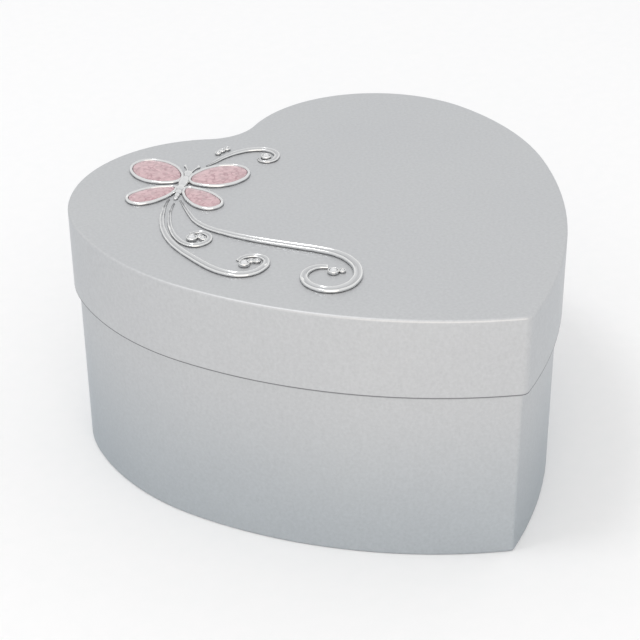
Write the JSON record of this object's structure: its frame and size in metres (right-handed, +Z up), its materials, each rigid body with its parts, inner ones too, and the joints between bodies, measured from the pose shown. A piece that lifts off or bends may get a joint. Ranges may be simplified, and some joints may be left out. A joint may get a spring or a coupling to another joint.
{
  "type": "wind-up music box",
  "caption": "Heart-shaped metal music box with a hinged slip-over lid, raised butterfly and scroll ornament, lined tray and a key-wound pinned-cylinder movement.",
  "frame": {"origin": "middle of the box's plan, hinge knuckles included, at table level", "axes": "+X to the right seen from the heart's point, +Y towards the cleft and the hinge, +Z up"},
  "size_m": [0.11, 0.114, 0.06],
  "materials": {
    "satin_silver": "satin silver plate, fine grain",
    "plated_steel": "nickel plated",
    "bright_silver": "polished silver with dark edges",
    "pink_enamel": "pink glitter enamel",
    "crystal": "clear cut",
    "velvet": "short-pile velvet",
    "felt": "pressed felt",
    "cast_zinc": "die-cast",
    "brass": "machined",
    "steel": "bright",
    "white_plastic": "moulded"
  },
  "bodies": {
    "base": {"base_shell": "satin_silver", "floor_plate": "plated_steel", "felt_pad": "felt", "floor_screws": "plated_steel", "movement_screws": "plated_steel", "tray_insert": "velvet", "hinge_base_leaf": "plated_steel", "hinge_pin": "plated_steel", "bedplate": "cast_zinc", "click_spring": "steel", "click_rivet": "plated_steel", "barrel_bridge": "plated_steel", "bridge_screws": "plated_steel", "governor_frame": "cast_zinc", "governor_screws": "plated_steel", "comb": "steel", "comb_screws": "plated_steel"},
    "lid": {"lid_shell": "satin_silver", "lid_lining": "velvet", "hinge_lid_leaf": "plated_steel", "butterfly_frame": "bright_silver", "left_forewing_enamel": "pink_enamel", "right_forewing_enamel": "pink_enamel", "left_hindwing_enamel": "pink_enamel", "right_hindwing_enamel": "pink_enamel", "long_scroll": "bright_silver", "short_scroll": "bright_silver", "side_scroll": "bright_silver", "top_scroll": "bright_silver", "crystals": "crystal"},
    "key": {"winding_key": "brass", "winding_arbor": "steel", "ratchet_wheel": "steel"},
    "barrel": {"spring_barrel": "brass", "barrel_cap": "brass", "mainspring": "steel"},
    "cylinder": {"tune_cylinder": "brass", "cylinder_arbor": "steel", "cylinder_pinion": "steel", "cylinder_gear": "brass"},
    "idler": {"idler_shaft": "steel", "idler_pinion": "steel", "worm_wheel": "brass"},
    "fan": {"worm_shaft": "steel", "fan": "white_plastic"},
    "stop": {"stop_rod": "steel", "stop_button": "white_plastic"}
  },
  "joints": [
    {"name": "lid_hinge", "type": "hinge", "parent": "base", "child": "lid", "pos_m": [0, 0.05537, 0.0406], "axis": [-1, 0, 0], "range_deg": [0, 100]},
    {"name": "key_turn", "type": "hinge", "parent": "base", "child": "key", "pos_m": [-0.018, 0.012, 0.005], "axis": [0, 0, 1], "range_deg": [0, 1710]},
    {"name": "barrel_spin", "type": "hinge", "parent": "base", "child": "barrel", "pos_m": [-0.018, 0.012, 0.018], "axis": [0, 0, 1], "continuous": true},
    {"name": "cylinder_spin", "type": "hinge", "parent": "base", "child": "cylinder", "pos_m": [0, 0.012, 0.0225], "axis": [1, 0, 0], "continuous": true},
    {"name": "idler_spin", "type": "hinge", "parent": "base", "child": "idler", "pos_m": [0.0198, 0.0205, 0.02065], "axis": [1, 0, 0], "continuous": true},
    {"name": "fan_spin", "type": "hinge", "parent": "base", "child": "fan", "pos_m": [0.0198, 0.0271, 0.02065], "axis": [0, 0, 1], "continuous": true},
    {"name": "stop_slide", "type": "slide", "parent": "base", "child": "stop", "axis": [0, 0, 1], "range_m": [0, 0.004]}
  ],
  "couplings": [
    {"joint": "cylinder_spin", "follows": "barrel_spin", "ratio": 3},
    {"joint": "idler_spin", "follows": "barrel_spin", "ratio": -14.4},
    {"joint": "fan_spin", "follows": "barrel_spin", "ratio": 172.8},
    {"joint": "stop_slide", "follows": "lid_hinge", "m_per_rad": 0.00229}
  ]
}
